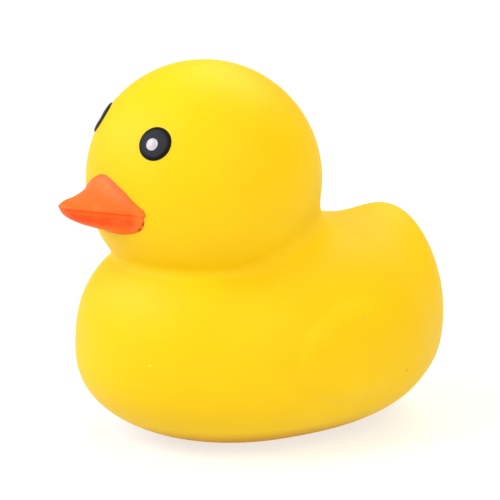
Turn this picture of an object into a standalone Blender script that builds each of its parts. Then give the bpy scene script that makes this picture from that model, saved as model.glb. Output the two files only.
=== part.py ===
"""A palm-sized duck, moulded in one piece from soft foam.

Lengths are in metres and angles in degrees. The duck looks along -Y, +X is its left side,
and it stands on Z = 0.
"""

import math

import bmesh
import bpy
import numpy as np
from mathutils import Matrix, Vector

# Body, an egg that is measured from its middle at its widest level
BODY_HALF_WIDTH = 0.0354
BODY_BREAST = 0.0424
BODY_REAR = 0.0469
BODY_CROWN = 0.0310
BODY_BELLY = 0.0232
BREAST_PLAN_FULLNESS = 2.05
REAR_PLAN_FULLNESS = 2.59
BREAST_TOP_FULLNESS = 2.55
REAR_TOP_FULLNESS = 2.39
SIDE_TOP_FULLNESS = 2.05
BELLY_FULLNESS = 2.3
BEND_LIMIT = 1.2
REAR_DROOP = 0.0003
BASE_TRIM = 0.0013
BASE_ROUNDING = 0.0010

# Tail, an upturned lump on the rear of the back
TAIL_HALF_LENGTH = 0.0110
TAIL_HALF_WIDTH = 0.0161
TAIL_HALF_HEIGHT = 0.0218
TAIL_OVERHANG = 0.0044
TAIL_RISE = -0.0024
TAIL_BLEND = 0.0112

# Head, a ball that sinks into the shoulders
HEAD_RADIUS = 0.0284
HEAD_LEAD = 0.0112
NECK_SINK = 0.0179
THROAT_BLEND = 0.0025
NAPE_BLEND = 0.0095
NAPE_LEAD = 0.2
NAPE_SPAN = 1.0

# Wings, shallow pads on the flanks that fade out towards the tail
WING_HALF_LENGTH = 0.0178
WING_HALF_HEIGHT = 0.0125
WING_SETBACK = 0.0117
WING_RISE = 0.0028
WING_TILT = 6.0
WING_RELIEF = 0.0014
WING_EDGE_SHARE = 0.45
WING_FADE_START = -0.3
WING_FADE_SPAN = 1.2
WING_INNER_SHARE = 0.3
WING_OUTER_SHARE = 0.8

# Beak, an upper bill over a shorter lower jaw, measured from the head's centre and the mouth
BEAK_REACH = 0.0393
BEAK_HALF_WIDTH = 0.0140
BEAK_TIP_RADIUS = 0.0025
BEAK_LIP = 0.0021
BEAK_LIP_ROUNDING = 0.0010
BEAK_TIP_HEIGHT = 0.0011
BEAK_ROOT_RISE = 0.0051
BEAK_SWEEP = 2.6
BEAK_SWEEP_END = 0.0016
BEAK_CREST_SOFTNESS = 0.2
BEAK_FLANK_DROP = 0.84
BEAK_EDGE_FULLNESS = 7.0
MOUTH_DROP = 0.0034
MOUTH_STEP = 0.0005
JAW_SETBACK = 0.0005
JAW_DEPTH = 0.0060
JAW_TIP_RADIUS = 0.0019
JAW_LEAST_SHARE = 0.5
JAW_FULLNESS = 2.5

# Eyes, low buttons on the head
EYE_RADIUS = 0.00415
EYE_RELIEF = 0.0005
EYE_EDGE_POWER = 0.5
EYE_SPREAD = 33.4
EYE_RISE = 28.6

# Fineness of the mesh
SKIN_TURNS = 80
HEAD_RINGS = 14
NECK_RINGS = 16
BACK_RINGS = 14
BODY_RINGS = 16
NECK_BAND_ABOVE = 13.0
NECK_BAND_BELOW = 9.0
BACK_BAND_END = 112.0
CREASE_SHARE = 0.8
RAY_START = 0.004
RAY_STEPS = 60
RAY_CAUTION = 0.9
GROUND_SNAP = 0.000002
BEAK_RINGS = 14
BEAK_RING_SPREAD = 1.5
BEAK_ARC_STEPS = 14
EYE_TURNS = 28
EYE_RINGS = 5
SHARP_ANGLE = 50.0

# Depth to which the beak and the eyes are rooted in the head
ROOT_DEPTH = 0.0050

# Places that follow from the sizes
BODY_LEVEL = BODY_BELLY - BASE_TRIM
BODY_TOP = BODY_LEVEL + BODY_CROWN
HEAD_CENTRE = Vector((0.0, -HEAD_LEAD, BODY_TOP + HEAD_RADIUS - NECK_SINK))
NECK_CENTRE = HEAD_CENTRE - Vector((0.0, 0.0, HEAD_RADIUS))
TAIL_END = BODY_REAR + TAIL_OVERHANG
TAIL_TOP = BODY_TOP + TAIL_RISE
TAIL_CENTRE = Vector((0.0, TAIL_END - TAIL_HALF_LENGTH, TAIL_TOP - TAIL_HALF_HEIGHT))
WING_CENTRE = Vector((0.0, WING_SETBACK, BODY_LEVEL + WING_RISE))
MOUTH_LEVEL = HEAD_CENTRE.z - MOUTH_DROP
CORNER_BACK = BEAK_REACH - math.sqrt(HEAD_RADIUS ** 2 - BEAK_HALF_WIDTH ** 2 - MOUTH_DROP ** 2)
RIDGE_BACK = BEAK_REACH - HEAD_RADIUS


def power(values, exponent):
    """Powers of the sizes of some values, kept clear of zero."""
    return np.power(np.abs(values) + 1e-9, exponent)


def smoothstep(values):
    """Ease values from 0 to 1, flat at both ends."""
    t = np.clip(values, 0.0, 1.0)
    return t * t * (3.0 - 2.0 * t)


def smooth_union(a, b, blend):
    """Distance to two shapes joined with a fillet."""
    overlap = np.maximum(blend - np.abs(a - b), 0.0) / blend
    return np.minimum(a, b) - overlap * overlap * blend / 4.0


def ellipsoid(points, centre, radii):
    """Nearly the distance of some points to an ellipsoid."""
    q = (points - np.array(centre)) / np.array(radii)
    near = np.linalg.norm(q, axis=1)
    slope = np.linalg.norm(q / np.array(radii), axis=1)
    return near * (near - 1.0) / np.maximum(slope, 1e-9)


def body(points):
    """Nearly the distance to the egg of the body."""
    x = points[:, 0]
    y = points[:, 1]
    ahead = y < 0.0
    length = np.where(ahead, BODY_BREAST, BODY_REAR)
    bend = np.where(ahead, 0.0, REAR_DROOP)
    z = points[:, 2] - BODY_LEVEL + bend * np.minimum((y / length) ** 2, BEND_LIMIT)
    below = z < 0.0
    height = np.where(below, BODY_BELLY, BODY_CROWN)
    across = (x / BODY_HALF_WIDTH) ** 2
    along = (y / length) ** 2
    sideways = across / (across + along + 1e-6)
    end_top = np.where(ahead, BREAST_TOP_FULLNESS, REAR_TOP_FULLNESS)
    n = np.where(below, BELLY_FULLNESS, end_top + (SIDE_TOP_FULLNESS - end_top) * sideways)
    m = np.where(ahead, BREAST_PLAN_FULLNESS, REAR_PLAN_FULLNESS)
    plan_sum = power(x / BODY_HALF_WIDTH, m) + power(y / length, m)
    plan = plan_sum ** (1.0 / m)
    level = (power(plan, n) + power(z / height, n)) ** (1.0 / n)
    plan_slope_x = plan_sum ** (1.0 / m - 1.0) * power(x / BODY_HALF_WIDTH, m - 1.0) / BODY_HALF_WIDTH
    plan_slope_y = plan_sum ** (1.0 / m - 1.0) * power(y / length, m - 1.0) / length
    outward = level ** (1.0 - n) * power(plan, n - 1.0) * np.hypot(plan_slope_x, plan_slope_y)
    upward = level ** (1.0 - n) * power(z / height, n - 1.0) / height
    return (level - 1.0) / np.maximum(np.hypot(outward, upward), 1e-9)


def wing_relief(points):
    """Height of the wings' pads over the flanks."""
    tilt = math.radians(WING_TILT)
    y = points[:, 1] - WING_CENTRE.y
    z = points[:, 2] - WING_CENTRE.z
    along = (y * math.cos(tilt) + z * math.sin(tilt)) / WING_HALF_LENGTH
    up = (z * math.cos(tilt) - y * math.sin(tilt)) / WING_HALF_HEIGHT
    inward = np.clip((1.0 - np.hypot(along, up)) / WING_EDGE_SHARE, 0.0, 1.0)
    edge = inward * (2.0 - inward)
    front = smoothstep(1.0 - (along - WING_FADE_START) / WING_FADE_SPAN)
    outboard = np.abs(points[:, 0]) / BODY_HALF_WIDTH
    flank = smoothstep((outboard - WING_INNER_SHARE) / (WING_OUTER_SHARE - WING_INNER_SHARE))
    return WING_RELIEF * edge * front * flank


def duck_form(points):
    """Nearly the distance to the moulded skin, without the beak and the eyes."""
    tail = ellipsoid(points, TAIL_CENTRE, (TAIL_HALF_WIDTH, TAIL_HALF_LENGTH, TAIL_HALF_HEIGHT))
    trunk = smooth_union(body(points) - wing_relief(points), tail, TAIL_BLEND)
    standing = -smooth_union(-trunk, points[:, 2], BASE_ROUNDING)
    head = np.linalg.norm(points - np.array(HEAD_CENTRE), axis=1) - HEAD_RADIUS
    behind = smoothstep(((points[:, 1] - HEAD_CENTRE.y) / HEAD_RADIUS + NAPE_LEAD) / NAPE_SPAN)
    neck_blend = THROAT_BLEND + (NAPE_BLEND - THROAT_BLEND) * behind
    return smooth_union(standing, head, neck_blend)


def ring_angles():
    """Angles from straight up for the skin's rings, closer together where the neck's crease runs."""
    crease_height = CREASE_SHARE * NECK_SINK
    crease_radius = math.sqrt(HEAD_RADIUS ** 2 - (HEAD_RADIUS - crease_height) ** 2)
    crease = math.degrees(math.atan2(crease_radius, crease_height))
    counts = np.cumsum([0, HEAD_RINGS, NECK_RINGS, BACK_RINGS, BODY_RINGS])
    angles = [0.0, crease - NECK_BAND_ABOVE, crease + NECK_BAND_BELOW, BACK_BAND_END, 180.0]
    return np.radians(np.interp(np.arange(1, counts[-1]), counts, angles))


def ray_directions():
    """Straight up, then rings of directions from top to bottom, then straight down."""
    turns = 2.0 * math.pi * np.arange(SKIN_TURNS) / SKIN_TURNS
    rings = [np.stack([np.sin(turns) * math.sin(angle), -np.cos(turns) * math.sin(angle),
                       np.full(SKIN_TURNS, math.cos(angle))], axis=1) for angle in ring_angles()]
    return np.concatenate([[[0.0, 0.0, 1.0]]] + rings + [[[0.0, 0.0, -1.0]]])


def cast_skin(directions):
    """Points where rays from the neck meet the skin."""
    centre = np.array(NECK_CENTRE)
    reach = np.full(len(directions), RAY_START)
    for _ in range(RAY_STEPS):
        points = centre + directions * reach[:, None]
        reach = np.maximum(reach - RAY_CAUTION * duck_form(points), 0.0)
    points = centre + directions * reach[:, None]
    points[np.abs(points[:, 2]) < GROUND_SNAP, 2] = 0.0
    return points


def flatten_base(bm):
    """Join the squares that lie on the ground into one flat face."""
    ground = [face for face in bm.faces if all(vert.co.z == 0.0 for vert in face.verts)]
    bmesh.ops.dissolve_faces(bm, faces=ground, use_verts=True)


def colour_material(name, colour, roughness):
    """A plain surface of one colour."""
    material = bpy.data.materials.new(name)
    material.use_nodes = True
    shader = material.node_tree.nodes["Principled BSDF"]
    shader.inputs["Base Color"].default_value = (*colour, 1.0)
    shader.inputs["Roughness"].default_value = roughness
    shader.inputs["Metallic"].default_value = 0.0
    return material


def finished_object(name, bm, material):
    """Turn a finished mesh into a smooth-shaded object."""
    bmesh.ops.recalc_face_normals(bm, faces=bm.faces[:])
    mesh = bpy.data.meshes.new(name)
    bm.to_mesh(mesh)
    bm.free()
    mesh.materials.append(material)
    mesh.shade_smooth()
    mesh.set_sharp_from_angle(angle=math.radians(SHARP_ANGLE))
    shape = bpy.data.objects.new(name, mesh)
    bpy.context.scene.collection.objects.link(shape)
    return shape


def make_skin(material):
    """Head, neck, body, wings and tail as one closed skin."""
    bm = bmesh.new()
    verts = [bm.verts.new(point) for point in cast_skin(ray_directions())]
    rings = [verts[first:first + SKIN_TURNS] for first in range(1, len(verts) - 1, SKIN_TURNS)]
    for step in range(SKIN_TURNS):
        following = (step + 1) % SKIN_TURNS
        bm.faces.new((verts[0], rings[0][step], rings[0][following]))
        bm.faces.new((verts[-1], rings[-1][following], rings[-1][step]))
        for upper, lower in zip(rings, rings[1:]):
            bm.faces.new((upper[step], lower[step], lower[following], upper[following]))
    flatten_base(bm)
    return finished_object("duck", bm, material)


def rounded_wedge(back, tip_radius, root_size, root_back):
    """Half-width of a wedge with a round tip that has a given size at its root."""
    flare = (root_size ** 2 - 2.0 * tip_radius * root_back) / root_back ** 2
    return math.sqrt(max(2.0 * tip_radius * back + flare * back ** 2, 0.0))


def full_arch(across, fullness):
    """Height of an arch of height 1 at a share of its half-width, squarer with more fullness."""
    return max(1.0 - abs(across) ** fullness, 0.0) ** (1.0 / fullness)


def peaked_arch(across):
    """Height of the bill's roof of height 1, with a soft crest and rounded edges."""
    reach = math.hypot(1.0, BEAK_CREST_SOFTNESS) - BEAK_CREST_SOFTNESS
    share = (math.hypot(across, BEAK_CREST_SOFTNESS) - BEAK_CREST_SOFTNESS) / reach
    return (1.0 - BEAK_FLANK_DROP * share) * full_arch(across, BEAK_EDGE_FULLNESS)


def beak_section(back, inset_depth=0.0):
    """One ring of the beak, a distance back from its tip and moved further into the head by a depth."""
    half_width = rounded_wedge(back, BEAK_TIP_RADIUS, BEAK_HALF_WIDTH, CORNER_BACK)
    lip = BEAK_LIP * (1.0 - math.exp(-back / BEAK_LIP_ROUNDING))
    sweep = min(back, RIDGE_BACK + BEAK_SWEEP_END) / RIDGE_BACK
    height = lip + BEAK_ROOT_RISE * sweep ** BEAK_SWEEP
    depth = rounded_wedge(max(back - JAW_SETBACK, 0.0), JAW_TIP_RADIUS, JAW_DEPTH, RIDGE_BACK)
    jaw_half_width = max(half_width - MOUTH_STEP, JAW_LEAST_SHARE * half_width)
    y = HEAD_CENTRE.y - BEAK_REACH + back + inset_depth
    ring = []
    for step in range(BEAK_ARC_STEPS + 1):
        across = math.cos(math.pi * step / BEAK_ARC_STEPS)
        rise = height * peaked_arch(across)
        ring.append(Vector((half_width * across, y, MOUTH_LEVEL + rise)))
    for step in range(BEAK_ARC_STEPS + 1):
        across = -math.cos(math.pi * step / BEAK_ARC_STEPS)
        fall = depth * full_arch(across, JAW_FULLNESS)
        ring.append(Vector((jaw_half_width * across, y, MOUTH_LEVEL - fall)))
    return ring


def make_beak(material):
    """The bill and the jaw as one closed form, rooted in the head."""
    bm = bmesh.new()
    rings = []
    for index in range(1, BEAK_RINGS + 1):
        back = CORNER_BACK * (index / BEAK_RINGS) ** BEAK_RING_SPREAD
        rings.append([bm.verts.new(point) for point in beak_section(back)])
    rings.append([bm.verts.new(point) for point in beak_section(CORNER_BACK, ROOT_DEPTH)])
    tip = bm.verts.new((0.0, HEAD_CENTRE.y - BEAK_REACH, MOUTH_LEVEL + BEAK_TIP_HEIGHT))
    count = len(rings[0])
    for side in range(count):
        bm.faces.new((tip, rings[0][side], rings[0][(side + 1) % count]))
    for front, rear in zip(rings, rings[1:]):
        for side in range(count):
            following = (side + 1) % count
            bm.faces.new((front[side], rear[side], rear[following], front[following]))
    bm.faces.new(rings[-1])
    return finished_object("beak_form", bm, material)


def eye_profile():
    """Half of the eye's outline, as radius and distance from the head's centre."""
    foot = HEAD_RADIUS - ROOT_DEPTH
    outline = [(EYE_RADIUS, foot)]
    for ring in range(EYE_RINGS + 1):
        turn = 0.5 * math.pi * ring / EYE_RINGS
        radius = EYE_RADIUS * math.cos(turn) ** EYE_EDGE_POWER
        bulge = HEAD_RADIUS + EYE_RELIEF * math.sin(turn)
        outline.append((radius, math.sqrt(bulge ** 2 - radius ** 2)))
    return foot, outline


def make_eye(name, side, material):
    """A low button, turned about the line from the head's centre to the eye."""
    foot, outline = eye_profile()
    bm = bmesh.new()
    bottom = bm.verts.new((0.0, 0.0, foot))
    top = bm.verts.new((0.0, 0.0, outline[-1][1]))
    rings = []
    for radius, height in outline[:-1]:
        ring = []
        for step in range(EYE_TURNS):
            turn = 2.0 * math.pi * step / EYE_TURNS
            ring.append(bm.verts.new((radius * math.cos(turn), radius * math.sin(turn), height)))
        rings.append(ring)
    for step in range(EYE_TURNS):
        following = (step + 1) % EYE_TURNS
        bm.faces.new((bottom, rings[0][following], rings[0][step]))
        bm.faces.new((top, rings[-1][step], rings[-1][following]))
        for lower, upper in zip(rings, rings[1:]):
            bm.faces.new((lower[step], lower[following], upper[following], upper[step]))
    spread = math.radians(EYE_SPREAD)
    rise = math.radians(EYE_RISE)
    sideways = side * math.sin(spread) * math.cos(rise)
    forward = math.cos(spread) * math.cos(rise)
    outward = Vector((sideways, -forward, math.sin(rise)))
    place = Matrix.Translation(HEAD_CENTRE) @ outward.to_track_quat("Z", "Y").to_matrix().to_4x4()
    bmesh.ops.transform(bm, matrix=place, verts=bm.verts[:])
    return finished_object(name, bm, material)


def fuse(shape, form):
    """Grow a form out of the duck's skin."""
    form.hide_render = True
    form.display_type = "WIRE"
    union = shape.modifiers.new("grow_" + form.name, "BOOLEAN")
    union.operation = "UNION"
    union.solver = "EXACT"
    union.material_mode = "TRANSFER"
    union.object = form


def stand_on_origin(shapes, duck):
    """Move everything so that the duck's length and width are centred on the origin."""
    bpy.context.view_layer.update()
    whole = duck.evaluated_get(bpy.context.evaluated_depsgraph_get())
    corners = [Vector(corner) for corner in whole.bound_box]
    middle_y = 0.5 * (min(c.y for c in corners) + max(c.y for c in corners))
    for shape in shapes:
        shape.data.transform(Matrix.Translation((0.0, -middle_y, 0.0)))


def build_duck():
    """Mould the duck."""
    yellow = colour_material("yellow_foam", (0.95, 0.72, 0.04), 0.6)
    orange = colour_material("beak_paint", (0.95, 0.19, 0.05), 0.55)
    black = colour_material("eye_paint", (0.03, 0.032, 0.037), 0.35)
    duck = make_skin(yellow)
    forms = [make_beak(orange)]
    for name, side in (("eye_form_left", 1.0), ("eye_form_right", -1.0)):
        forms.append(make_eye(name, side, black))
    for form in forms:
        fuse(duck, form)
    stand_on_origin([duck] + forms, duck)


for old in list(bpy.data.objects):
    bpy.data.objects.remove(old, do_unlink=True)
build_duck()
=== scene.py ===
"""Looks of a palm-sized foam duck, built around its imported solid.

Lengths are in metres. The duck looks along -Y, +X is its left side, and it stands on Z = 0.
"""

import math

import bmesh
import bpy
import numpy as np
from mathutils import Matrix, Vector


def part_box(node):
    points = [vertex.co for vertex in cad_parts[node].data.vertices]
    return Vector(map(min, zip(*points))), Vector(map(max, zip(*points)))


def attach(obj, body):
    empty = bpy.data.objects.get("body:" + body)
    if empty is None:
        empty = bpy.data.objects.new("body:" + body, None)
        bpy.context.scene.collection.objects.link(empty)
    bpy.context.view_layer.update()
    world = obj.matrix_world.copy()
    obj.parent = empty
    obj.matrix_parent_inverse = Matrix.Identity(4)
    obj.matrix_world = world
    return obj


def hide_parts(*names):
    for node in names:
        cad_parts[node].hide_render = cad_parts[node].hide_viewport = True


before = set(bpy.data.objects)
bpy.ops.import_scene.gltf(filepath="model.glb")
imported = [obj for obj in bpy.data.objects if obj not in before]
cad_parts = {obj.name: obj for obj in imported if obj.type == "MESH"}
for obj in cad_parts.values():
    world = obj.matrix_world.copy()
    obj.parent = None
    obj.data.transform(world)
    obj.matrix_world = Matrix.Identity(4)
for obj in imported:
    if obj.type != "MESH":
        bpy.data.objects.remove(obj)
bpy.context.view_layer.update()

# Body, an egg that is measured from its middle at its widest level
BODY_HALF_WIDTH = 0.0354
BODY_BREAST = 0.0424
BODY_REAR = 0.0469
BODY_CROWN = 0.0310
BODY_BELLY = 0.0232
BREAST_PLAN_FULLNESS = 2.05
REAR_PLAN_FULLNESS = 2.59
BREAST_TOP_FULLNESS = 2.55
REAR_TOP_FULLNESS = 2.39
SIDE_TOP_FULLNESS = 2.05
BELLY_FULLNESS = 2.3
BEND_LIMIT = 1.2
REAR_DROOP = 0.0003
BASE_TRIM = 0.0013
BASE_ROUNDING = 0.0010

# Tail, an upturned lump on the rear of the back
TAIL_HALF_LENGTH = 0.0110
TAIL_HALF_WIDTH = 0.0161
TAIL_HALF_HEIGHT = 0.0218
TAIL_OVERHANG = 0.0044
TAIL_RISE = -0.0024
TAIL_BLEND = 0.0112

# Head, a ball that sinks into the shoulders
HEAD_RADIUS = 0.0284
HEAD_LEAD = 0.0112
NECK_SINK = 0.0179
THROAT_BLEND = 0.0025
NAPE_BLEND = 0.0095
NAPE_LEAD = 0.2
NAPE_SPAN = 1.0

# Wings, shallow pads on the flanks that fade out towards the tail
WING_HALF_LENGTH = 0.0178
WING_HALF_HEIGHT = 0.0125
WING_SETBACK = 0.0117
WING_RISE = 0.0028
WING_TILT = 6.0
WING_RELIEF = 0.0014
WING_EDGE_SHARE = 0.45
WING_FADE_START = -0.3
WING_FADE_SPAN = 1.2
WING_INNER_SHARE = 0.3
WING_OUTER_SHARE = 0.8

# Beak, an upper bill over a shorter lower jaw, measured from the head's centre and the mouth
BEAK_REACH = 0.0393
BEAK_HALF_WIDTH = 0.0140
BEAK_TIP_RADIUS = 0.0025
BEAK_LIP = 0.0021
BEAK_LIP_ROUNDING = 0.0010
BEAK_TIP_HEIGHT = 0.0011
BEAK_ROOT_RISE = 0.0048
BEAK_SWEEP = 2.6
BEAK_SWEEP_END = 0.0016
BEAK_CREST_SOFTNESS = 0.32
BEAK_FLANK_DROP = 0.82
BEAK_EDGE_FULLNESS = 7.0
MOUTH_DROP = 0.0034
MOUTH_STEP = 0.0005
JAW_SETBACK = 0.0005
JAW_DEPTH = 0.0055
JAW_TIP_RADIUS = 0.0019
JAW_LEAST_SHARE = 0.5
JAW_FULLNESS = 2.5
BEAK_FILLET = 0.0006
BEAK_FILLET_REACH = 0.0012
MOUTH_SOFTNESS = 0.00022
ROOT_DEPTH = 0.0050

# The photographed duck's beak leans to its left where it climbs the face, and is lower on its right
BEAK_LEAN = 0.0012
BEAK_FAR_DROP = 0.93

# The photographed duck's bill points up a little: the mouth is higher at the tip than at its corners
BEAK_TIP_LIFT = 0.0007
BEAK_CORNER_LIFT = -0.0004

# Eyes, low buttons on the head, each with a white dot of paint; spread and rise are in degrees
EYE_RADIUS = 0.00415
EYE_RELIEF = 0.0004
EYE_ROUNDING = 0.0009
EYE_SPREAD = 32.9
EYE_RISE = 28.1
FAR_EYE_RISE = 31.2
EYE_DEPTH = 0.0015
DOT_RADIUS = 0.00148
DOT_THICKNESS = 0.00007
DOT_SHIFT = 0.0006
DOT_FULLNESS = 4.0

# Paint of the beak with painted shade and light, as screen colours at heights over the mouth: painted shade
# under the bill's overhanging lip and a darker line of painted shade at the mouth, paler up the bill and
# towards the jaw's bottom as painted light
BEAK_PAINT_AND_SHADE = (
    (-0.0060, (237, 100, 12)),
    (-0.0036, (237, 94, 6)),
    (-0.0027, (236, 73, 4)),
    (-0.0013, (236, 73, 4)),
    (-0.0008, (238, 86, 13)),
    (-0.0003, (238, 88, 16)),
    (0.0, (222, 72, 10)),
    (0.0004, (237, 95, 28)),
    (0.0030, (237, 98, 36)),
    (0.0075, (236, 110, 48)),
)
BEAK_WAVER = 0.0005
BEAK_WAVER_SCALE = 420.0
BEAK_WAVER_DETAIL = 2.0

# Paint towards the root, by distance back from the tip, and along the root's edge, by distance off the head
BEAK_ROOT_PAINT = (238, 116, 38)
BEAK_ROOT_BAND = (0.0122, 0.0148)
BEAK_ROOT_SHARE = 0.8
BEAK_EDGE_PAINT = (196, 60, 8)
BEAK_EDGE_BAND = (0.0006, 0.0001)
BEAK_EDGE_SHARE = 0.4

# Paler patches in the beak's paint, where a noise passes a band, and dark spots of painted shadow at its
# corner, under the lip's edge
BEAK_PATCH_PAINT = (244, 124, 64)
BEAK_PATCH_SCALE = 260.0
BEAK_PATCH_BAND = (0.5, 0.8)
BEAK_PATCH_SHARE = 0.4
BEAK_CORNER_SHADOWS = (
    ((0.0140, -0.0361, 0.0577), 0.0010, (160, 46, 14)),
    ((0.0126, -0.0365, 0.0562), 0.0009, (176, 60, 14)),
)

# Finish of the beak's paint
BEAK_GRAIN_SCALE = 1700.0
BEAK_GRAIN_DEPTH = 0.00005
BEAK_ROUGHNESS = 0.48
BEAK_GLOSS = 0.18

# Small marks in the foam's skin: place, radius and screen colour
FOAM_SPOTS = (
    ((0.0184, -0.0374, 0.0245), 0.0005, (242, 212, 70)),
    ((0.0335, 0.0128, 0.0331), 0.0007, (232, 170, 62)),
    ((0.0313, 0.0262, 0.0175), 0.0006, (200, 154, 10)),
)
SPOT_CORE = 0.3

# Foam skin, with painted shade darker towards the ground, and duller there
FOAM_TINTS = ((226, 182, 1), (229, 187, 3))
FOAM_MOTTLE_SCALE = 55.0
FOAM_GRAIN_SCALE = 1400.0
FOAM_GRAIN_DEPTH = 0.00006
FOAM_ROUGHNESS = 0.52
FOAM_GLOSS = 0.18
FOAM_SCATTER = 0.15
FOAM_SCATTER_REACH = (0.004, 0.0022, 0.0004)
BASE_PAINTED_SHADE = (196, 140, 0)
BASE_PAINTED_SHADE_BAND = (0.0075, 0.0020)
BASE_DULL_BAND = (0.0, 0.0120)

# Paint of the eyes, with painted shade darker towards their rims, where the buttons round away
EYE_RIM_PAINTED_SHADE = (9, 9, 11)
EYE_RIM_SHADE_BAND = (0.0029, 0.0037)
EYE_TINTS = ((26, 26, 33), (33, 33, 41))
EYE_MOTTLE_SCALE = 300.0
EYE_GRAIN_SCALE = 1500.0
EYE_GRAIN_DEPTH = 0.00004
EYE_ROUGHNESS = 0.45
EYE_GLOSS = 0.12

# Paint of the dots
DOT_TINTS = ((173, 160, 176), (203, 199, 216))
DOT_MOTTLE_SCALE = 700.0
DOT_GRAIN_SCALE = 1900.0
DOT_GRAIN_DEPTH = 0.00004
DOT_ROUGHNESS = 0.6
DOT_GLOSS = 0.2

# Noise that all the paints share
GRAIN_DETAIL = 4.0
GRAIN_STRENGTH = 0.5
MOTTLE_DETAIL = 5.0
MOTTLE_RANGE = (0.3, 0.7)

# Fineness of the meshes
SKIN_TURNS = 300
HEAD_RINGS = 80
NECK_RINGS = 70
BODY_RINGS = 120
NECK_BAND_ABOVE = 14.0
NECK_BAND_BELOW = 10.0
CREASE_SHARE = 0.8
RAY_START = 0.004
RAY_STEPS = 80
RAY_CAUTION = 0.9
GROUND_SNAP = 0.000002
TINY = 1e-9
TINY_SHARE = 1e-6
BEAK_RINGS = 110
BEAK_RING_SPREAD = 1.5
BEAK_ARC_STEPS = 90
EYE_TURNS = 96
EYE_RINGS = 26
DOT_RINGS = 8

# Places that follow from the sizes
BODY_LEVEL = BODY_BELLY - BASE_TRIM
BODY_TOP = BODY_LEVEL + BODY_CROWN
HEAD_CENTRE = Vector((0.0, -HEAD_LEAD, BODY_TOP + HEAD_RADIUS - NECK_SINK))
NECK_CENTRE = HEAD_CENTRE - Vector((0.0, 0.0, HEAD_RADIUS))
TAIL_END = BODY_REAR + TAIL_OVERHANG
TAIL_TOP = BODY_TOP + TAIL_RISE
TAIL_CENTRE = Vector((0.0, TAIL_END - TAIL_HALF_LENGTH, TAIL_TOP - TAIL_HALF_HEIGHT))
WING_CENTRE = Vector((0.0, WING_SETBACK, BODY_LEVEL + WING_RISE))
MOUTH_LEVEL = HEAD_CENTRE.z - MOUTH_DROP
CORNER_BACK = BEAK_REACH - math.sqrt(HEAD_RADIUS ** 2 - BEAK_HALF_WIDTH ** 2 - MOUTH_DROP ** 2)
RIDGE_BACK = BEAK_REACH - HEAD_RADIUS
BEAK_TIP_Y = HEAD_CENTRE.y - BEAK_REACH
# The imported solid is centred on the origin: its beak's tip says how far everything moves back
CENTRING = Vector((0.0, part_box("duck")[0][1] - BEAK_TIP_Y, 0.0))

# Camera, as the photograph was taken
CAMERA_AZIMUTH = 59.55
CAMERA_ELEVATION = 14.19
CAMERA_DISTANCE = 1.007
CAMERA_AIM = Vector((0.0014, 0.0008, 0.0442)) + CENTRING
PIXELS_PER_METRE = 4126.7
FRAME_PIXELS = 500.0
SENSOR_WIDTH = 36.0
CAMERA_NEAR = 0.01

# Studio light: name, metres towards the camera, to its right and up, size in metres, watts and colour
LIGHTS = (
    ("key_light", (0.55, -0.82, 0.58), 0.7, 9.8, (0.82, 0.86, 1.0)),
    ("rim_light", (-0.15, -1.05, 0.60), 0.5, 4.0, (0.60, 0.76, 1.0)),
    ("fill_light", (0.92, 0.45, 0.40), 0.9, 6.7, (1.0, 0.98, 0.6)),
    ("top_light", (-0.35, 0.25, 1.05), 0.9, 8.0, (1.0, 0.97, 0.8)),
)
LIGHT_AIM = Vector((0.0, 0.0, 0.045))
WORLD_COLOUR = (1.0, 0.98, 0.6, 1.0)
WORLD_STRENGTH = 0.58

# Floor, a pale table that glows a little
FLOOR_HALF_SIZE = 6.0
FLOOR_SHADE = 0.32
FLOOR_ROUGHNESS = 0.9
FLOOR_GLOW = 0.68


def power(values, exponent):
    """Powers of the sizes of some values, kept clear of zero."""
    return np.power(np.abs(values) + TINY, exponent)


def smoothstep(values):
    """Ease values from 0 to 1, flat at both ends."""
    t = np.clip(values, 0.0, 1.0)
    return t * t * (3.0 - 2.0 * t)


def smooth_union(a, b, blend):
    """Distance to two shapes joined with a fillet."""
    overlap = np.maximum(blend - np.abs(a - b), 0.0) / blend
    return np.minimum(a, b) - overlap * overlap * blend / 4.0


def ellipsoid(points, centre, radii):
    """Nearly the distance of some points to an ellipsoid."""
    q = (points - np.array(centre)) / np.array(radii)
    near = np.linalg.norm(q, axis=1)
    slope = np.linalg.norm(q / np.array(radii), axis=1)
    return near * (near - 1.0) / np.maximum(slope, TINY)


def body(points):
    """Nearly the distance to the egg of the body."""
    x = points[:, 0]
    y = points[:, 1]
    ahead = y < 0.0
    length = np.where(ahead, BODY_BREAST, BODY_REAR)
    bend = np.where(ahead, 0.0, REAR_DROOP)
    z = points[:, 2] - BODY_LEVEL + bend * np.minimum((y / length) ** 2, BEND_LIMIT)
    below = z < 0.0
    height = np.where(below, BODY_BELLY, BODY_CROWN)
    across = (x / BODY_HALF_WIDTH) ** 2
    along = (y / length) ** 2
    sideways = across / (across + along + TINY_SHARE)
    end_top = np.where(ahead, BREAST_TOP_FULLNESS, REAR_TOP_FULLNESS)
    n = np.where(below, BELLY_FULLNESS, end_top + (SIDE_TOP_FULLNESS - end_top) * sideways)
    m = np.where(ahead, BREAST_PLAN_FULLNESS, REAR_PLAN_FULLNESS)
    plan_sum = power(x / BODY_HALF_WIDTH, m) + power(y / length, m)
    plan = plan_sum ** (1.0 / m)
    level = (power(plan, n) + power(z / height, n)) ** (1.0 / n)
    plan_slope_x = plan_sum ** (1.0 / m - 1.0) * power(x / BODY_HALF_WIDTH, m - 1.0) / BODY_HALF_WIDTH
    plan_slope_y = plan_sum ** (1.0 / m - 1.0) * power(y / length, m - 1.0) / length
    outward = level ** (1.0 - n) * power(plan, n - 1.0) * np.hypot(plan_slope_x, plan_slope_y)
    upward = level ** (1.0 - n) * power(z / height, n - 1.0) / height
    return (level - 1.0) / np.maximum(np.hypot(outward, upward), TINY)


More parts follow.
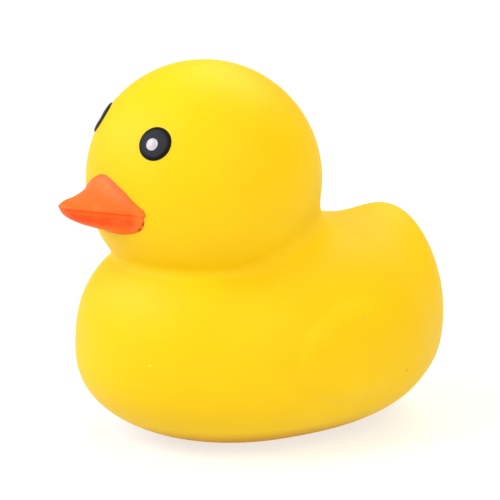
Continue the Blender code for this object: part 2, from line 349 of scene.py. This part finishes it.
def wing_relief(points):
    """Height of the wings' pads over the flanks."""
    tilt = math.radians(WING_TILT)
    y = points[:, 1] - WING_CENTRE.y
    z = points[:, 2] - WING_CENTRE.z
    along = (y * math.cos(tilt) + z * math.sin(tilt)) / WING_HALF_LENGTH
    up = (z * math.cos(tilt) - y * math.sin(tilt)) / WING_HALF_HEIGHT
    inward = np.clip((1.0 - np.hypot(along, up)) / WING_EDGE_SHARE, 0.0, 1.0)
    edge = inward * (2.0 - inward)
    front = smoothstep(1.0 - (along - WING_FADE_START) / WING_FADE_SPAN)
    outboard = np.abs(points[:, 0]) / BODY_HALF_WIDTH
    flank = smoothstep((outboard - WING_INNER_SHARE) / (WING_OUTER_SHARE - WING_INNER_SHARE))
    return WING_RELIEF * edge * front * flank


def duck_form(points):
    """Nearly the distance to the moulded skin, without the beak and the eyes."""
    tail = ellipsoid(points, TAIL_CENTRE, (TAIL_HALF_WIDTH, TAIL_HALF_LENGTH, TAIL_HALF_HEIGHT))
    trunk = smooth_union(body(points) - wing_relief(points), tail, TAIL_BLEND)
    standing = -smooth_union(-trunk, points[:, 2], BASE_ROUNDING)
    head = np.linalg.norm(points - np.array(HEAD_CENTRE), axis=1) - HEAD_RADIUS
    behind = smoothstep(((points[:, 1] - HEAD_CENTRE.y) / HEAD_RADIUS + NAPE_LEAD) / NAPE_SPAN)
    neck_blend = THROAT_BLEND + (NAPE_BLEND - THROAT_BLEND) * behind
    return smooth_union(standing, head, neck_blend)


def ring_angles():
    """Angles from straight up for the skin's rings, closer together where the neck's crease runs."""
    crease_height = CREASE_SHARE * NECK_SINK
    crease_radius = math.sqrt(HEAD_RADIUS ** 2 - (HEAD_RADIUS - crease_height) ** 2)
    crease = math.degrees(math.atan2(crease_radius, crease_height))
    counts = np.cumsum([0, HEAD_RINGS, NECK_RINGS, BODY_RINGS])
    angles = [0.0, crease - NECK_BAND_ABOVE, crease + NECK_BAND_BELOW, 180.0]
    return np.radians(np.interp(np.arange(1, counts[-1]), counts, angles))


def ray_directions():
    """Straight up, then rings of directions from top to bottom, then straight down."""
    turns = 2.0 * math.pi * np.arange(SKIN_TURNS) / SKIN_TURNS
    rings = [np.stack([np.sin(turns) * math.sin(angle), -np.cos(turns) * math.sin(angle),
                       np.full(SKIN_TURNS, math.cos(angle))], axis=1) for angle in ring_angles()]
    return np.concatenate([[[0.0, 0.0, 1.0]]] + rings + [[[0.0, 0.0, -1.0]]])


def cast_skin(directions):
    """Points where rays from the neck meet the skin."""
    centre = np.array(NECK_CENTRE)
    reach = np.full(len(directions), RAY_START)
    for _ in range(RAY_STEPS):
        points = centre + directions * reach[:, None]
        reach = np.maximum(reach - RAY_CAUTION * duck_form(points), 0.0)
    points = centre + directions * reach[:, None]
    points[np.abs(points[:, 2]) < GROUND_SNAP, 2] = 0.0
    return points


def finished_piece(name, bm, material):
    """Turn a finished mesh into a smooth piece that stands for the solid duck."""
    bmesh.ops.recalc_face_normals(bm, faces=bm.faces[:])
    bmesh.ops.translate(bm, vec=CENTRING, verts=bm.verts[:])
    mesh = bpy.data.meshes.new(name)
    bm.to_mesh(mesh)
    bm.free()
    mesh.materials.append(material)
    mesh.shade_smooth()
    piece = bpy.data.objects.new(name, mesh)
    bpy.context.scene.collection.objects.link(piece)
    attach(piece, "root")
    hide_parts("duck")
    return piece


def close_rings(bm, rings, first_tip, last_tip):
    """Faces between rings of corners, closed with a fan at each end."""
    count = len(rings[0])
    for step in range(count):
        following = (step + 1) % count
        bm.faces.new((first_tip, rings[0][step], rings[0][following]))
        bm.faces.new((last_tip, rings[-1][following], rings[-1][step]))
        for upper, lower in zip(rings, rings[1:]):
            bm.faces.new((upper[step], lower[step], lower[following], upper[following]))


def make_skin(material):
    """Head, neck, body, wings and tail as one closed skin."""
    bm = bmesh.new()
    verts = [bm.verts.new(point) for point in cast_skin(ray_directions())]
    rings = [verts[first:first + SKIN_TURNS] for first in range(1, len(verts) - 1, SKIN_TURNS)]
    close_rings(bm, rings, verts[0], verts[-1])
    return finished_piece("duck_skin", bm, material)


def rounded_wedge(back, tip_radius, root_size, root_back):
    """Half-width of a wedge with a round tip that has a given size at its root."""
    flare = (root_size ** 2 - 2.0 * tip_radius * root_back) / root_back ** 2
    return math.sqrt(max(2.0 * tip_radius * back + flare * back ** 2, 0.0))


def full_arch(across, fullness):
    """Height of an arch of height 1 at shares of its half-width, squarer with more fullness."""
    return np.maximum(1.0 - np.abs(across) ** fullness, 0.0) ** (1.0 / fullness)


def peaked_arch(across):
    """Height of the bill's roof of height 1, with a soft crest and rounded edges."""
    reach = math.hypot(1.0, BEAK_CREST_SOFTNESS) - BEAK_CREST_SOFTNESS
    share = (np.sqrt(across ** 2 + BEAK_CREST_SOFTNESS ** 2) - BEAK_CREST_SOFTNESS) / reach
    flank_drop = np.where(across < 0.0, BEAK_FAR_DROP, BEAK_FLANK_DROP)
    return (1.0 - flank_drop * share) * full_arch(across, BEAK_EDGE_FULLNESS)


def mouth_level(back):
    """Height of the mouth at a distance back from the beak's tip."""
    return MOUTH_LEVEL + BEAK_TIP_LIFT + (BEAK_CORNER_LIFT - BEAK_TIP_LIFT) * back / CORNER_BACK


def beak_section(back, inset_depth=0.0):
    """One ring of the beak, a distance back from its tip and moved further into the head by a depth."""
    half_width = rounded_wedge(back, BEAK_TIP_RADIUS, BEAK_HALF_WIDTH, CORNER_BACK)
    lip = BEAK_LIP * (1.0 - math.exp(-back / BEAK_LIP_ROUNDING))
    sweep = min(back, RIDGE_BACK + BEAK_SWEEP_END) / RIDGE_BACK
    height = lip + BEAK_ROOT_RISE * sweep ** BEAK_SWEEP
    depth = rounded_wedge(max(back - JAW_SETBACK, 0.0), JAW_TIP_RADIUS, JAW_DEPTH, RIDGE_BACK)
    jaw_half_width = max(half_width - MOUTH_STEP, JAW_LEAST_SHARE * half_width)
    across = np.cos(math.pi * np.arange(BEAK_ARC_STEPS + 1) / BEAK_ARC_STEPS)
    rise = height * peaked_arch(across)
    fall = depth * full_arch(across, JAW_FULLNESS)
    lean = BEAK_LEAN * (1.0 - across ** 2) * sweep ** 2
    upper = np.stack([half_width * across + lean, mouth_level(back) + rise], axis=1)
    lower = np.stack([-jaw_half_width * across, mouth_level(back) - fall], axis=1)
    ring = soften_ring(np.concatenate([upper, lower]))
    y = np.full(len(ring), BEAK_TIP_Y + back + inset_depth)
    return flare_root(np.stack([ring[:, 0], y, ring[:, 1]], axis=1))


def soften_ring(ring):
    """Round the corners of a closed outline, and space its points evenly."""
    closed = np.concatenate([ring, ring[:1]])
    steps = np.linalg.norm(np.diff(closed, axis=0), axis=1)
    along = np.concatenate([[0.0], np.cumsum(steps)])
    count = 2 * BEAK_ARC_STEPS
    even = along[-1] * np.arange(count) / count
    points = np.stack([np.interp(even, along, closed[:, axis]) for axis in (0, 1)], axis=1)
    spacing = along[-1] / count
    reach = MOUTH_SOFTNESS / spacing
    waves = np.fft.fftfreq(count)[:, None]
    damping = np.exp(-0.5 * (2.0 * math.pi * waves * reach) ** 2)
    return np.real(np.fft.ifft(np.fft.fft(points, axis=0) * damping, axis=0))


def flare_root(points):
    """Spread the beak's surface outward just where it meets the head, as a small fillet."""
    off_head = np.linalg.norm(points - np.array(HEAD_CENTRE), axis=1) - HEAD_RADIUS
    near = np.clip(1.0 - off_head / BEAK_FILLET_REACH, 0.0, 1.0)
    outward = points - np.array([0.0, 0.0, MOUTH_LEVEL])
    outward[:, 1] = 0.0
    outward /= np.linalg.norm(outward, axis=1)[:, None] + TINY
    return points + outward * (BEAK_FILLET * near ** 2)[:, None]


def make_beak(material):
    """The bill and the jaw as one closed form, rooted in the head."""
    bm = bmesh.new()
    rings = []
    for index in range(1, BEAK_RINGS + 1):
        back = CORNER_BACK * (index / BEAK_RINGS) ** BEAK_RING_SPREAD
        rings.append([bm.verts.new(point) for point in beak_section(back)])
    rings.append([bm.verts.new(point) for point in beak_section(CORNER_BACK, ROOT_DEPTH)])
    tip = bm.verts.new((0.0, BEAK_TIP_Y, mouth_level(0.0) + BEAK_TIP_HEIGHT))
    root = bm.verts.new((0.0, BEAK_TIP_Y + CORNER_BACK + ROOT_DEPTH, mouth_level(CORNER_BACK)))
    close_rings(bm, rings, tip, root)
    return finished_piece("beak", bm, material)


def eye_height(radius):
    """Distance of an eye's face from the head's centre, along the eye's own axis."""
    edge = min(max((EYE_RADIUS - radius) / EYE_ROUNDING, 0.0), 1.0)
    bulge = HEAD_RADIUS + EYE_RELIEF * math.sqrt(1.0 - (1.0 - edge) ** 2)
    return math.sqrt(bulge ** 2 - radius ** 2)


def eye_frame(side):
    """Place and turn of an eye, with its own Z straight out of the head and its X towards the beak."""
    spread = math.radians(EYE_SPREAD)
    rise = math.radians(EYE_RISE if side > 0.0 else FAR_EYE_RISE)
    outward = Vector((side * math.sin(spread) * math.cos(rise),
                      -math.cos(spread) * math.cos(rise), math.sin(rise)))
    forward = Vector((0.0, -1.0, 0.0))
    forward = (forward - forward.dot(outward) * outward).normalized()
    turn = Matrix((forward, outward.cross(forward), outward)).transposed()
    return Matrix.Translation(HEAD_CENTRE) @ turn.to_4x4()


def make_eye(name, side, material):
    """A low black button."""
    bm = bmesh.new()
    place = eye_frame(side)
    foot = HEAD_RADIUS - EYE_DEPTH
    top = bm.verts.new(place @ Vector((0.0, 0.0, eye_height(0.0))))
    bottom = bm.verts.new(place @ Vector((0.0, 0.0, foot)))
    radii = [EYE_RADIUS * math.sin(0.5 * math.pi * ring / EYE_RINGS) for ring in range(1, EYE_RINGS + 1)]
    outline = [(radius, eye_height(radius)) for radius in radii] + [(EYE_RADIUS, foot)]
    rings = [turned_ring(bm, place, radius, height) for radius, height in outline]
    close_rings(bm, rings, top, bottom)
    return finished_piece(name, bm, material)


def turned_ring(bm, place, radius, height):
    """A ring of corners about an eye's axis."""
    ring = []
    for step in range(EYE_TURNS):
        turn = 2.0 * math.pi * step / EYE_TURNS
        ring.append(bm.verts.new(place @ Vector((radius * math.cos(turn), radius * math.sin(turn), height))))
    return ring


def make_dot(name, side, material):
    """A thin round blob of white paint on an eye, a little towards the beak."""
    bm = bmesh.new()
    place = eye_frame(side)
    top = bm.verts.new(place @ Vector((DOT_SHIFT, 0.0, eye_height(DOT_SHIFT) + DOT_THICKNESS)))
    bottom = bm.verts.new(place @ Vector((DOT_SHIFT, 0.0, eye_height(DOT_SHIFT) - EYE_RELIEF)))
    rings = []
    for ring in range(1, DOT_RINGS + 1):
        radius = DOT_RADIUS * math.sin(0.5 * math.pi * ring / DOT_RINGS)
        thickness = DOT_THICKNESS * math.sqrt(max(1.0 - (radius / DOT_RADIUS) ** DOT_FULLNESS, 0.0))
        rings.append(dot_ring(bm, place, radius, thickness))
    rings.append(dot_ring(bm, place, DOT_RADIUS, -EYE_RELIEF))
    close_rings(bm, rings, top, bottom)
    return finished_piece(name, bm, material)


def dot_ring(bm, place, radius, thickness):
    """A ring of corners that lies a thickness above an eye's face."""
    ring = []
    for step in range(EYE_TURNS):
        turn = 2.0 * math.pi * step / EYE_TURNS
        x = DOT_SHIFT + radius * math.cos(turn)
        y = radius * math.sin(turn)
        ring.append(bm.verts.new(place @ Vector((x, y, eye_height(math.hypot(x, y)) + thickness))))
    return ring


def shader_of(material):
    """The Principled shader, the nodes and the links of a material."""
    tree = material.node_tree
    return tree.nodes["Principled BSDF"], tree.nodes, tree.links


def linear(red, green, blue):
    """Scene-linear colour of a screen colour of 0 to 255."""
    channels = []
    for value in (red, green, blue):
        share = value / 255.0
        channels.append(share / 12.92 if share <= 0.04045 else ((share + 0.055) / 1.055) ** 2.4)
    return (*channels, 1.0)


def noise_over(nodes, links, place, scale, detail):
    """A noise's values over the surface."""
    noise = nodes.new("ShaderNodeTexNoise")
    noise.inputs["Scale"].default_value = scale
    noise.inputs["Detail"].default_value = detail
    links.new(place.outputs["Object"], noise.inputs["Vector"])
    return noise.outputs["Fac"]


def add_grain(nodes, links, shader, scale, depth):
    """Fine grain of a surface as bump, and the coordinates that the material's other nodes use."""
    place = nodes.new("ShaderNodeTexCoord")
    bump = nodes.new("ShaderNodeBump")
    bump.inputs["Distance"].default_value = depth
    bump.inputs["Strength"].default_value = GRAIN_STRENGTH
    links.new(noise_over(nodes, links, place, scale, GRAIN_DETAIL), bump.inputs["Height"])
    links.new(bump.outputs["Normal"], shader.inputs["Normal"])
    return place


def mottled_colour(nodes, links, place, scale, tints):
    """A colour that drifts a little over the surface, from a dark to a light tint."""
    ramp = nodes.new("ShaderNodeValToRGB")
    for stop, position, tint in zip(ramp.color_ramp.elements, MOTTLE_RANGE, tints):
        stop.position = position
        stop.color = linear(*tint)
    links.new(noise_over(nodes, links, place, scale, MOTTLE_DETAIL), ramp.inputs["Fac"])
    return ramp.outputs["Color"]


def position_along(nodes, links, place, axis):
    """Position of the surface along one axis."""
    axes = nodes.new("ShaderNodeSeparateXYZ")
    links.new(place.outputs["Object"], axes.inputs["Vector"])
    return axes.outputs[axis]


def eased(nodes, links, value, start, end, most=1.0):
    """A share that eases from 0 to its most while a value runs from a start to an end."""
    span = nodes.new("ShaderNodeMapRange")
    span.interpolation_type = "SMOOTHSTEP"
    span.inputs["From Min"].default_value = start
    span.inputs["From Max"].default_value = end
    span.inputs["To Max"].default_value = most
    links.new(value, span.inputs["Value"])
    return span.outputs["Result"]


def painted(nodes, links, share, colour, paint):
    """A colour that goes over to a screen colour by a share."""
    mix = nodes.new("ShaderNodeMixRGB")
    mix.inputs["Color2"].default_value = linear(*paint)
    links.new(share, mix.inputs["Fac"])
    links.new(colour, mix.inputs["Color1"])
    return mix.outputs["Color"]


def gap_to(nodes, links, place, point):
    """Distance of the surface from a point."""
    gap = nodes.new("ShaderNodeVectorMath")
    gap.operation = "DISTANCE"
    gap.inputs[1].default_value = point
    links.new(place.outputs["Object"], gap.inputs[0])
    return gap.outputs["Value"]


def spotted(nodes, links, place, colour, spots):
    """A colour with small soft-edged spots on it."""
    for point, radius, paint in spots:
        share = eased(nodes, links, gap_to(nodes, links, place, point), radius, SPOT_CORE * radius)
        colour = painted(nodes, links, share, colour, paint)
    return colour


def foam_material():
    """Matte yellow foam skin with light scattering inside, and painted shade darker towards the ground."""
    material = bpy.data.materials.new("yellow_foam_skin")
    material.use_nodes = True
    shader, nodes, links = shader_of(material)
    place = add_grain(nodes, links, shader, FOAM_GRAIN_SCALE, FOAM_GRAIN_DEPTH)
    colour = mottled_colour(nodes, links, place, FOAM_MOTTLE_SCALE, FOAM_TINTS)
    height = position_along(nodes, links, place, "Z")
    # Painted shade: the skin's colour darkens towards the ground, near where the duck stands
    low = eased(nodes, links, height, *BASE_PAINTED_SHADE_BAND)
    colour = painted(nodes, links, low, colour, BASE_PAINTED_SHADE)
    links.new(spotted(nodes, links, place, colour, FOAM_SPOTS), shader.inputs["Base Color"])
    shader.inputs["Roughness"].default_value = FOAM_ROUGHNESS
    gloss = eased(nodes, links, height, *BASE_DULL_BAND, FOAM_GLOSS)
    links.new(gloss, shader.inputs["Specular IOR Level"])
    shader.inputs["Subsurface Weight"].default_value = FOAM_SCATTER
    shader.inputs["Subsurface Radius"].default_value = FOAM_SCATTER_REACH
    shader.inputs["Subsurface Scale"].default_value = 1.0
    return material


def banded_colour(nodes, links, place):
    """The beak's paint with painted shade and light, which change with the height over the mouth along an
    uneven line.
    """
    slope = (BEAK_CORNER_LIFT - BEAK_TIP_LIFT) / CORNER_BACK
    height = nodes.new("ShaderNodeVectorMath")
    height.operation = "DOT_PRODUCT"
    height.inputs[1].default_value = (0.0, -slope, 1.0)
    links.new(place.outputs["Object"], height.inputs[0])
    uneven = nodes.new("ShaderNodeMath")
    uneven.operation = "MULTIPLY_ADD"
    uneven.inputs[1].default_value = BEAK_WAVER
    links.new(noise_over(nodes, links, place, BEAK_WAVER_SCALE, BEAK_WAVER_DETAIL), uneven.inputs[0])
    links.new(height.outputs["Value"], uneven.inputs[2])
    mouth = mouth_level(0.0) - slope * (BEAK_TIP_Y + CENTRING.y) + 0.5 * BEAK_WAVER
    lowest, highest = BEAK_PAINT_AND_SHADE[0][0], BEAK_PAINT_AND_SHADE[-1][0]
    span = nodes.new("ShaderNodeMapRange")
    span.inputs["From Min"].default_value = mouth + lowest
    span.inputs["From Max"].default_value = mouth + highest
    links.new(uneven.outputs["Value"], span.inputs["Value"])
    # Painted shade under the lip and at the mouth, painted light higher up the bill and low on the jaw
    ramp = nodes.new("ShaderNodeValToRGB")
    stops = ramp.color_ramp.elements
    stops[0].color = linear(*BEAK_PAINT_AND_SHADE[0][1])
    stops[1].color = linear(*BEAK_PAINT_AND_SHADE[-1][1])
    for level, paint in BEAK_PAINT_AND_SHADE[1:-1]:
        stops.new((level - lowest) / (highest - lowest)).color = linear(*paint)
    links.new(span.outputs["Result"], ramp.inputs["Fac"])
    return ramp.outputs["Color"]


def beak_material():
    """Matte orange paint with paler patches, painted shade and light in bands over the mouth, a lighter
    root, a dark edge on the head and spots of painted shadow at the mouth's corner.
    """
    material = bpy.data.materials.new("orange_beak_paint")
    material.use_nodes = True
    shader, nodes, links = shader_of(material)
    place = add_grain(nodes, links, shader, BEAK_GRAIN_SCALE, BEAK_GRAIN_DEPTH)
    colour = banded_colour(nodes, links, place)
    patches = noise_over(nodes, links, place, BEAK_PATCH_SCALE, MOTTLE_DETAIL)
    share = eased(nodes, links, patches, *BEAK_PATCH_BAND, BEAK_PATCH_SHARE)
    colour = painted(nodes, links, share, colour, BEAK_PATCH_PAINT)
    band = [BEAK_TIP_Y + CENTRING.y + back for back in BEAK_ROOT_BAND]
    share = eased(nodes, links, position_along(nodes, links, place, "Y"), *band, BEAK_ROOT_SHARE)
    colour = painted(nodes, links, share, colour, BEAK_ROOT_PAINT)
    band = [HEAD_RADIUS + gap for gap in BEAK_EDGE_BAND]
    share = eased(nodes, links, gap_to(nodes, links, place, HEAD_CENTRE + CENTRING), *band, BEAK_EDGE_SHARE)
    colour = painted(nodes, links, share, colour, BEAK_EDGE_PAINT)
    # Dark spots of painted shadow at the mouth's corner
    links.new(spotted(nodes, links, place, colour, BEAK_CORNER_SHADOWS), shader.inputs["Base Color"])
    shader.inputs["Roughness"].default_value = BEAK_ROUGHNESS
    shader.inputs["Specular IOR Level"].default_value = BEAK_GLOSS
    return material


def eye_material():
    """Satin black paint, with painted shade darker at the eyes' rims."""
    material = bpy.data.materials.new("black_eye_paint")
    material.use_nodes = True
    shader, nodes, links = shader_of(material)
    place = add_grain(nodes, links, shader, EYE_GRAIN_SCALE, EYE_GRAIN_DEPTH)
    colour = mottled_colour(nodes, links, place, EYE_MOTTLE_SCALE, EYE_TINTS)
    nearer = nodes.new("ShaderNodeMath")
    nearer.operation = "MINIMUM"
    for index, side in enumerate((1.0, -1.0)):
        centre = eye_frame(side) @ Vector((0.0, 0.0, HEAD_RADIUS)) + CENTRING
        links.new(gap_to(nodes, links, place, centre), nearer.inputs[index])
    # Painted shade on the rounded rims of the eyes
    rim = eased(nodes, links, nearer.outputs["Value"], *EYE_RIM_SHADE_BAND)
    links.new(painted(nodes, links, rim, colour, EYE_RIM_PAINTED_SHADE), shader.inputs["Base Color"])
    shader.inputs["Roughness"].default_value = EYE_ROUGHNESS
    shader.inputs["Specular IOR Level"].default_value = EYE_GLOSS
    return material


def dot_material():
    """Matte white paint."""
    material = bpy.data.materials.new("white_dot_paint")
    material.use_nodes = True
    shader, nodes, links = shader_of(material)
    place = add_grain(nodes, links, shader, DOT_GRAIN_SCALE, DOT_GRAIN_DEPTH)
    colour = mottled_colour(nodes, links, place, DOT_MOTTLE_SCALE, DOT_TINTS)
    links.new(colour, shader.inputs["Base Color"])
    shader.inputs["Roughness"].default_value = DOT_ROUGHNESS
    shader.inputs["Specular IOR Level"].default_value = DOT_GLOSS
    return material


def make_floor():
    """A plain white table."""
    bm = bmesh.new()
    bmesh.ops.create_grid(bm, x_segments=1, y_segments=1, size=FLOOR_HALF_SIZE)
    mesh = bpy.data.meshes.new("studio_floor")
    bm.to_mesh(mesh)
    bm.free()
    floor = bpy.data.objects.new("studio_floor", mesh)
    bpy.context.scene.collection.objects.link(floor)
    material = bpy.data.materials.new("white_floor")
    material.use_nodes = True
    shader, _, _ = shader_of(material)
    shader.inputs["Base Color"].default_value = (FLOOR_SHADE, FLOOR_SHADE, FLOOR_SHADE, 1.0)
    shader.inputs["Roughness"].default_value = FLOOR_ROUGHNESS
    shader.inputs["Emission Color"].default_value = (1.0, 1.0, 1.0, 1.0)
    shader.inputs["Emission Strength"].default_value = FLOOR_GLOW
    mesh.materials.append(material)


def area_light(name, place, aim, size, power_watts, colour):
    """A soft square light that shines at a point."""
    data = bpy.data.lights.new(name, "AREA")
    data.size = size
    data.energy = power_watts
    data.color = colour
    lamp = bpy.data.objects.new(name, data)
    bpy.context.scene.collection.objects.link(lamp)
    lamp.location = place
    lamp.rotation_euler = (Vector(aim) - Vector(place)).to_track_quat("-Z", "Y").to_euler()


def view_axes():
    """Directions to the camera, to its right and up, for its azimuth and elevation."""
    azimuth = math.radians(CAMERA_AZIMUTH)
    elevation = math.radians(CAMERA_ELEVATION)
    back = Vector((math.sin(azimuth) * math.cos(elevation), -math.cos(azimuth) * math.cos(elevation),
                   math.sin(elevation)))
    right = Vector((math.cos(azimuth), math.sin(azimuth), 0.0))
    return back, right, back.cross(right)


def make_lights():
    """Soft lights around the duck, placed by the camera's directions, and dim light all around."""
    back, right, up = view_axes()
    for name, toward, size, power_watts, colour in LIGHTS:
        place = LIGHT_AIM + toward[0] * back + toward[1] * right + toward[2] * up
        area_light(name, place, LIGHT_AIM, size, power_watts, colour)
    world = bpy.data.worlds.new("studio")
    world.use_nodes = True
    background = world.node_tree.nodes["Background"]
    background.inputs["Color"].default_value = WORLD_COLOUR
    background.inputs["Strength"].default_value = WORLD_STRENGTH
    bpy.context.scene.world = world


def make_camera():
    """A long lens at the photograph's viewing angle."""
    back, _, _ = view_axes()
    data = bpy.data.cameras.new("photo_camera")
    data.sensor_width = SENSOR_WIDTH
    data.lens = SENSOR_WIDTH * PIXELS_PER_METRE * CAMERA_DISTANCE / FRAME_PIXELS
    data.clip_start = CAMERA_NEAR
    camera = bpy.data.objects.new("photo_camera", data)
    bpy.context.scene.collection.objects.link(camera)
    camera.location = CAMERA_AIM + CAMERA_DISTANCE * back
    camera.rotation_euler = (-back).to_track_quat("-Z", "Y").to_euler()
    bpy.context.scene.camera = camera


def build_scene():
    """Dress the duck and set up the studio."""
    skin = make_skin(foam_material())
    make_beak(beak_material())
    black = eye_material()
    white = dot_material()
    for name, side in (("left", 1.0), ("right", -1.0)):
        make_eye("eye_" + name, side, black)
        make_dot("eye_dot_" + name, side, white)
    make_floor()
    make_lights()
    make_camera()
    bpy.context.scene.view_settings.view_transform = "Standard"


build_scene()
